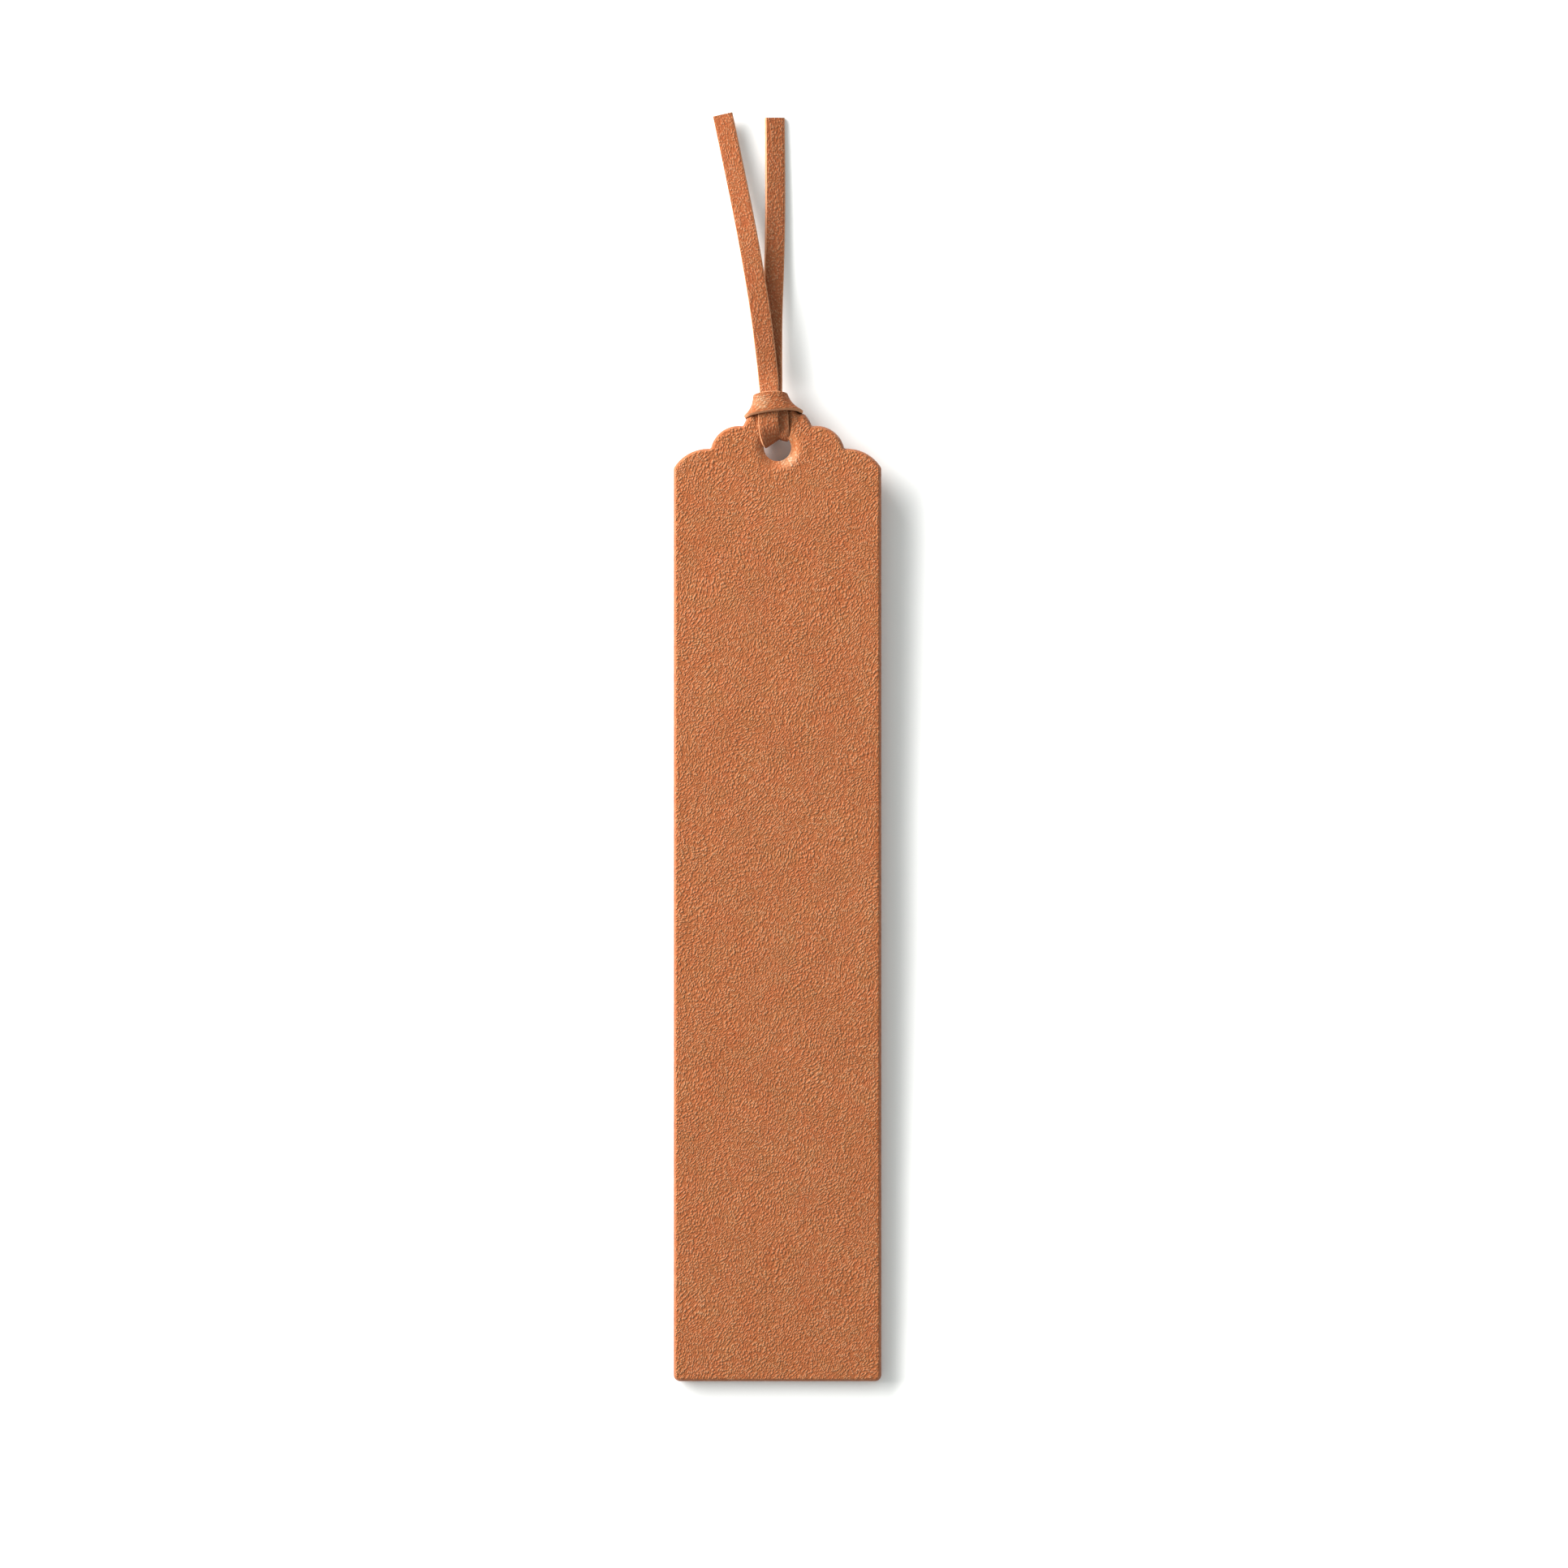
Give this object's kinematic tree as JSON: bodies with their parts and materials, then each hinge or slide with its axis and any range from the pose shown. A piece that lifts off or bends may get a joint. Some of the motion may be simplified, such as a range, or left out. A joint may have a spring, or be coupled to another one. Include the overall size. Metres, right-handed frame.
{
  "type": "leather bookmark",
  "caption": "Flat leather bookmark with a stepped scalloped head, a punched hole and a flat leather lace tied through it in a cow hitch with free tails.",
  "frame": {"origin": "middle of the footprint of the tag and the hitch, without the free tails, on the surface that the bookmark lies on", "axes": "+Y along the tag towards the lace, +X across the tag to the right seen from the front, +Z out of the front face"},
  "size_m": [0.032, 0.1954, 0.0049],
  "materials": {
    "face_leather": "fine pebbled grain, satin",
    "back_leather": "fine grain, satin",
    "lace_leather": "grained outside, pale raw cut edges",
    "board": "uncoated fibre board",
    "adhesive": "dried contact adhesive",
    "edge_paint": "painted edge, satin"
  },
  "bodies": {
    "tag": {"front_panel": "face_leather", "front_film": "adhesive", "stiffener": "board", "back_film": "adhesive", "back_panel": "back_leather", "edge_coat": "edge_paint", "lace_collar": "lace_leather", "lace_leg_left": "lace_leather", "lace_leg_right": "lace_leather"},
    "lace_neck": {"lace_neck_left": "lace_leather", "lace_neck_right": "lace_leather"},
    "left_tail": {"lace_tail_left": "lace_leather"},
    "right_tail": {"lace_tail_right": "lace_leather"}
  },
  "joints": [
    {"name": "tails_lift", "type": "hinge", "parent": "tag", "child": "lace_neck", "pos_m": [0, 0.0765, 0.00425], "axis": [1, 0, 0], "range_deg": [-25, 110]},
    {"name": "left_tail_sway", "type": "hinge", "parent": "lace_neck", "child": "left_tail", "pos_m": [-0.00175, 0.08135, 0.00395], "axis": [0, 0, 1], "range_deg": [-25, 25]},
    {"name": "right_tail_sway", "type": "hinge", "parent": "lace_neck", "child": "right_tail", "pos_m": [-0.00081, 0.08135, 0.00325], "axis": [0, 0, 1], "range_deg": [-25, 25]}
  ]
}
